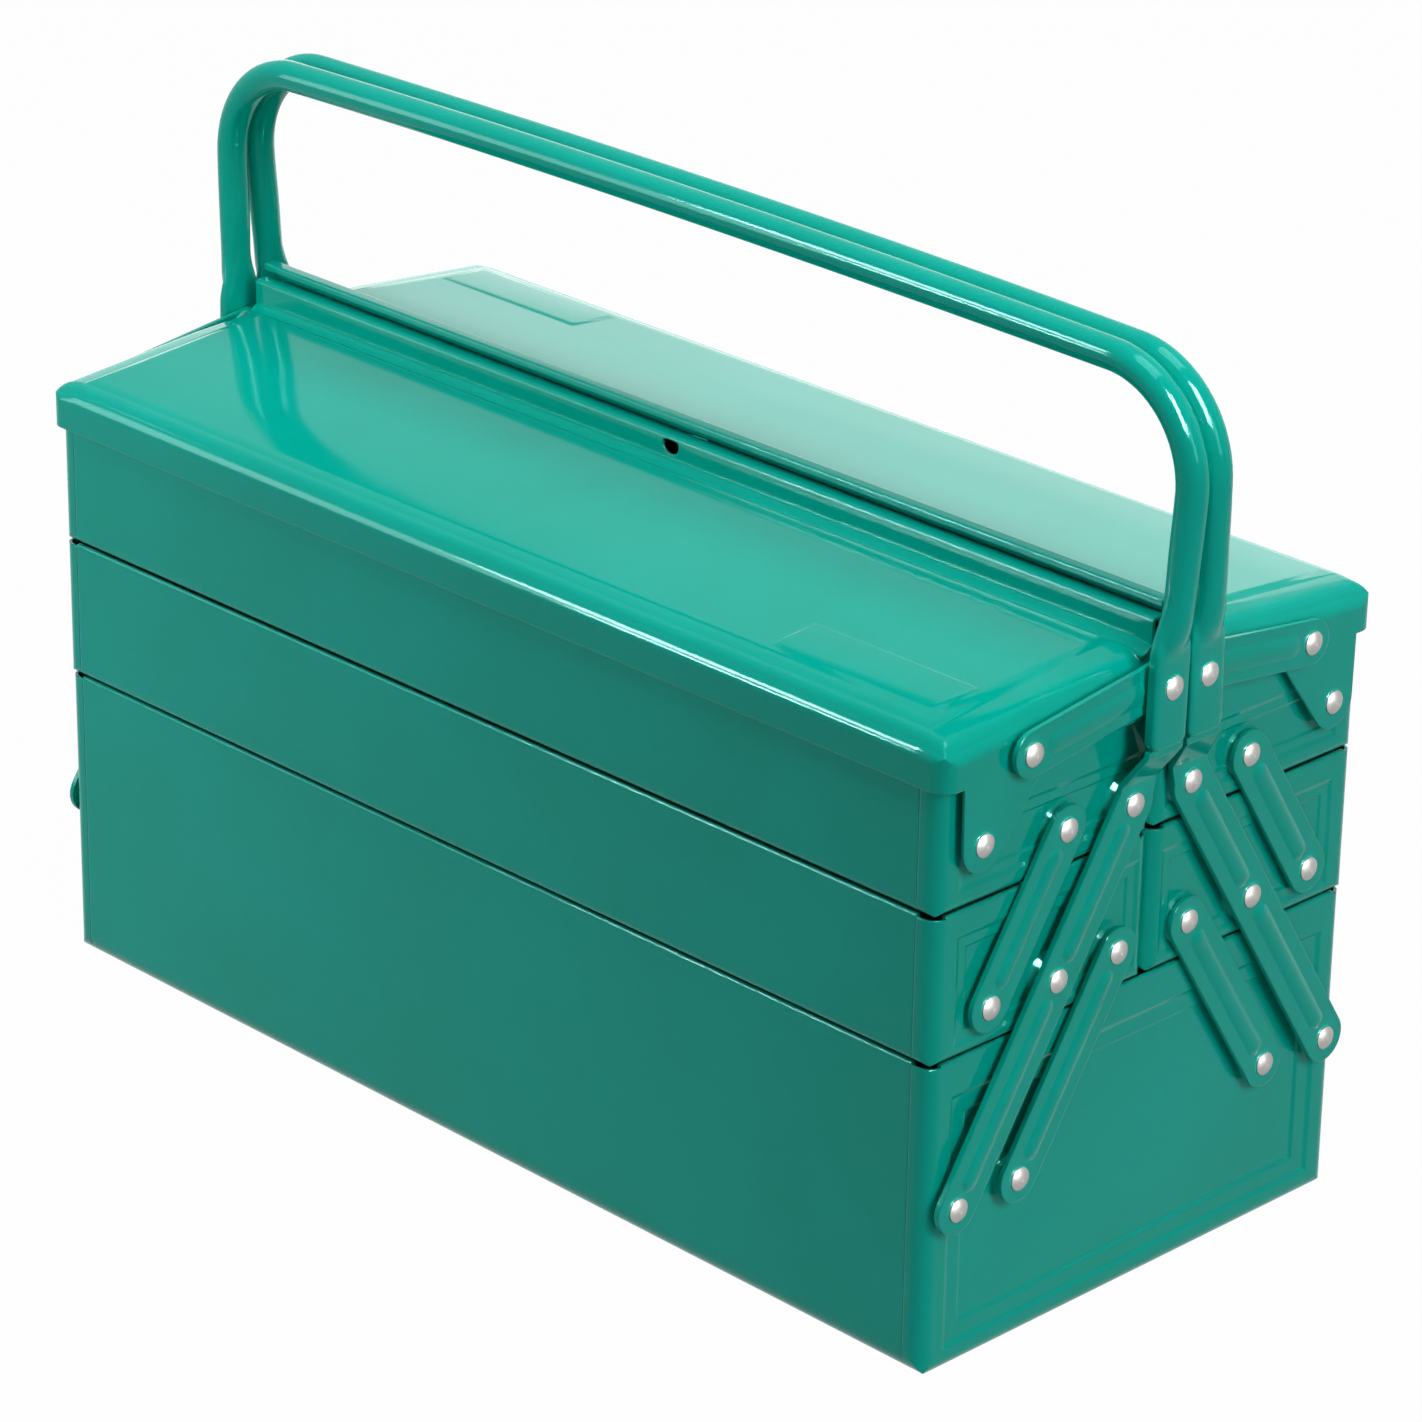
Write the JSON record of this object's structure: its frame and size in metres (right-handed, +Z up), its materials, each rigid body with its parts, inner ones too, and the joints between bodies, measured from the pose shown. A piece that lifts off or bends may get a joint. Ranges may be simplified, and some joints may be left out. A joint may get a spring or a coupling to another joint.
{
  "type": "cantilever tool box",
  "caption": "Steel tool box whose stacked trays, hinged lids and twin carrying handles swing outward together on riveted parallel arms.",
  "frame": {"origin": "middle of the base on the floor, with the box closed", "axes": "+X along the box to its right end, +Y to the back, +Z up"},
  "size_m": [0.4766, 0.2056, 0.3304],
  "materials": {
    "enamel": "gloss",
    "zinc_steel": "satin"
  },
  "bodies": {
    "base": {"base_wrap": "enamel", "base_cap_left": "enamel", "base_cap_right": "enamel", "base_rivets": "zinc_steel", "base_washers": "zinc_steel"},
    "front_arms": {"front_handle": "enamel", "front_handle_rivets": "zinc_steel", "front_handle_washers": "zinc_steel", "front_long_arm_left": "enamel", "front_long_arm_right": "enamel"},
    "front_mid_tray": {"front_mid_wrap": "enamel", "front_mid_cap_left": "enamel", "front_mid_cap_right": "enamel", "front_mid_rivets": "zinc_steel", "front_mid_washers": "zinc_steel"},
    "front_top_tray": {"front_top_wrap": "enamel", "front_top_cap_left": "enamel", "front_top_cap_right": "enamel", "front_top_rivets": "zinc_steel", "front_top_washers": "zinc_steel"},
    "front_lower_links": {"front_lower_link_left": "enamel", "front_lower_link_right": "enamel"},
    "front_upper_links": {"front_upper_link_left": "enamel", "front_upper_link_right": "enamel"},
    "front_lid_panel": {"front_lid": "enamel", "front_lid_rivets": "zinc_steel"},
    "front_lid_levers": {"front_lid_lever_left": "enamel", "front_lid_lever_right": "enamel"},
    "back_arms": {"back_handle": "enamel", "back_handle_rivets": "zinc_steel", "back_handle_washers": "zinc_steel", "back_long_arm_left": "enamel", "back_long_arm_right": "enamel"},
    "back_mid_tray": {"back_mid_wrap": "enamel", "back_mid_cap_left": "enamel", "back_mid_cap_right": "enamel", "back_mid_rivets": "zinc_steel", "back_mid_washers": "zinc_steel"},
    "back_top_tray": {"back_top_wrap": "enamel", "back_top_cap_left": "enamel", "back_top_cap_right": "enamel", "back_top_rivets": "zinc_steel", "back_top_washers": "zinc_steel"},
    "back_lower_links": {"back_lower_link_left": "enamel", "back_lower_link_right": "enamel"},
    "back_upper_links": {"back_upper_link_left": "enamel", "back_upper_link_right": "enamel"},
    "back_lid_panel": {"back_lid": "enamel", "back_lid_rivets": "zinc_steel"},
    "back_lid_levers": {"back_lid_lever_left": "enamel", "back_lid_lever_right": "enamel"}
  },
  "joints": [
    {"name": "front_arms_swing", "type": "hinge", "parent": "base", "child": "front_arms", "pos_m": [0, -0.0902, 0.061], "axis": [1, 0, 0], "range_deg": [0, 64]},
    {"name": "front_mid_tray_swing", "type": "hinge", "parent": "front_arms", "child": "front_mid_tray", "pos_m": [0, -0.04709, 0.12778], "axis": [1, 0, 0], "range_deg": [-64, 0]},
    {"name": "front_top_tray_swing", "type": "hinge", "parent": "front_arms", "child": "front_top_tray", "pos_m": [0, -0.0139, 0.1792], "axis": [1, 0, 0], "range_deg": [-64, 0]},
    {"name": "front_lower_links_swing", "type": "hinge", "parent": "base", "child": "front_lower_links", "pos_m": [0, -0.0602, 0.061], "axis": [1, 0, 0], "range_deg": [0, 64]},
    {"name": "front_upper_links_swing", "type": "hinge", "parent": "front_mid_tray", "child": "front_upper_links", "pos_m": [0, -0.07709, 0.12778], "axis": [1, 0, 0], "range_deg": [0, 64]},
    {"name": "front_lid_swing", "type": "hinge", "parent": "front_top_tray", "child": "front_lid_panel", "pos_m": [0, -0.0838, 0.1865], "axis": [1, 0, 0], "range_deg": [0, 83.5]},
    {"name": "front_lid_levers_swing", "type": "hinge", "parent": "front_lid_panel", "child": "front_lid_levers", "pos_m": [0, -0.0667, 0.2134], "axis": [1, 0, 0], "range_deg": [-96.6, 0]},
    {"name": "back_arms_swing", "type": "hinge", "parent": "base", "child": "back_arms", "pos_m": [0, 0.0902, 0.061], "axis": [-1, 0, 0], "range_deg": [0, 64]},
    {"name": "back_mid_tray_swing", "type": "hinge", "parent": "back_arms", "child": "back_mid_tray", "pos_m": [0, 0.04709, 0.12778], "axis": [-1, 0, 0], "range_deg": [-64, 0]},
    {"name": "back_top_tray_swing", "type": "hinge", "parent": "back_arms", "child": "back_top_tray", "pos_m": [0, 0.0139, 0.1792], "axis": [-1, 0, 0], "range_deg": [-64, 0]},
    {"name": "back_lower_links_swing", "type": "hinge", "parent": "base", "child": "back_lower_links", "pos_m": [0, 0.0602, 0.061], "axis": [-1, 0, 0], "range_deg": [0, 64]},
    {"name": "back_upper_links_swing", "type": "hinge", "parent": "back_mid_tray", "child": "back_upper_links", "pos_m": [0, 0.07709, 0.12778], "axis": [-1, 0, 0], "range_deg": [0, 64]},
    {"name": "back_lid_swing", "type": "hinge", "parent": "back_top_tray", "child": "back_lid_panel", "pos_m": [0, 0.0838, 0.1865], "axis": [-1, 0, 0], "range_deg": [0, 83.5]},
    {"name": "back_lid_levers_swing", "type": "hinge", "parent": "back_lid_panel", "child": "back_lid_levers", "pos_m": [0, 0.0667, 0.2134], "axis": [-1, 0, 0], "range_deg": [-96.6, 0]}
  ],
  "couplings": [
    {"joint": "front_mid_tray_swing", "follows": "front_arms_swing", "ratio": -1},
    {"joint": "front_top_tray_swing", "follows": "front_arms_swing", "ratio": -1},
    {"joint": "front_lower_links_swing", "follows": "front_arms_swing", "ratio": 1},
    {"joint": "front_upper_links_swing", "follows": "front_arms_swing", "ratio": 1},
    {"joint": "front_lid_swing", "follows": "front_arms_swing", "ratio": 1.305},
    {"joint": "front_lid_levers_swing", "follows": "front_arms_swing", "ratio": -1.509},
    {"joint": "back_mid_tray_swing", "follows": "back_arms_swing", "ratio": -1},
    {"joint": "back_top_tray_swing", "follows": "back_arms_swing", "ratio": -1},
    {"joint": "back_lower_links_swing", "follows": "back_arms_swing", "ratio": 1},
    {"joint": "back_upper_links_swing", "follows": "back_arms_swing", "ratio": 1},
    {"joint": "back_lid_swing", "follows": "back_arms_swing", "ratio": 1.305},
    {"joint": "back_lid_levers_swing", "follows": "back_arms_swing", "ratio": -1.509}
  ]
}
